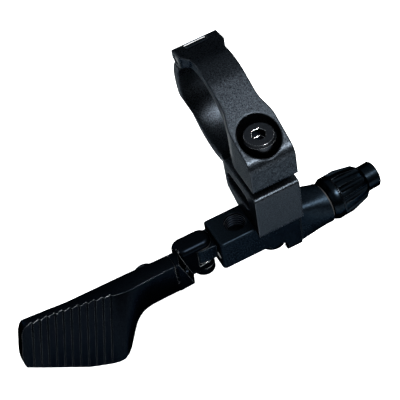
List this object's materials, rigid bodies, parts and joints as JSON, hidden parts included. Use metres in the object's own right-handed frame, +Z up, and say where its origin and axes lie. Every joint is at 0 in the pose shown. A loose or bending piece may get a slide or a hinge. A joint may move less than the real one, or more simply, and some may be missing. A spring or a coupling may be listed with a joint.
{
  "type": "dropper post remote lever",
  "caption": "Black under-bar thumb lever for a dropper seatpost: hinged handlebar clamp, body with cable adjuster, and a grooved thumb paddle.",
  "frame": {"origin": "centre of the handlebar bore, halfway across the clamp's width", "axes": "+X along the handlebar towards the cable adjuster, +Y towards the clamp's hinge, away from the rider's thumb, +Z up towards the clamp bolt's head"},
  "size_m": [0.09, 0.0398, 0.0477],
  "materials": {
    "clamp_black": "bead-blasted, black anodised",
    "body_black": "forged, satin black anodised",
    "blade_black": "machined, satin black anodised",
    "knob_black": "turned and fluted, semi-gloss black anodised",
    "screw_black": "black oxide",
    "pin_steel": "ground",
    "bush_plastic": "moulded acetal",
    "liner_plastic": "extruded",
    "seal_rubber": "moulded"
  },
  "bodies": {
    "mount_body": {"clamp_lower_jaw": "clamp_black", "clamp_hinge_pin": "pin_steel", "lever_body": "body_black", "foot_screw": "screw_black", "foot_screw_washer": "screw_black", "pivot_bush_upper": "bush_plastic", "pivot_bush_lower": "bush_plastic", "adjuster_seal_ring": "seal_rubber", "cable_liner": "liner_plastic"},
    "upper_jaw": {"clamp_upper_jaw": "clamp_black", "clamp_bolt_washer": "screw_black"},
    "bolt": {"clamp_bolt": "screw_black"},
    "lever": {"lever_blade": "blade_black", "pivot_bolt": "screw_black", "pivot_shim": "pin_steel", "cable_anchor_screw": "screw_black", "cable_anchor_washer": "screw_black"},
    "housing_seat": {"housing_ferrule": "pin_steel"},
    "adjuster": {"adjuster_barrel": "knob_black", "adjuster_knob": "knob_black"}
  },
  "joints": [
    {"name": "clamp_hinge", "type": "hinge", "parent": "mount_body", "child": "upper_jaw", "pos_m": [0, 0.01008, 0.00867], "axis": [-1, 0, 0], "range_deg": [0, 70]},
    {"name": "clamp_bolt_travel", "type": "slide", "parent": "upper_jaw", "child": "bolt", "axis": [0, 0, -1], "range_m": [0, 0.0015]},
    {"name": "lever_pivot", "type": "hinge", "parent": "mount_body", "child": "lever", "pos_m": [-0.017, -0.016, -0.0227], "axis": [0, 0, -1], "range_deg": [0, 25]},
    {"name": "adjuster_travel", "type": "slide", "parent": "mount_body", "child": "housing_seat", "axis": [0.9968, 0.0802, 0], "range_m": [0, 0.003]},
    {"name": "adjuster_spin", "type": "hinge", "parent": "housing_seat", "child": "adjuster", "pos_m": [0.0123, -0.0193, -0.0229], "axis": [0.9968, 0.0802, 0], "range_deg": [0, 1350]}
  ],
  "couplings": [
    {"joint": "adjuster_spin", "follows": "adjuster_travel", "rad_per_m": 7854}
  ]
}
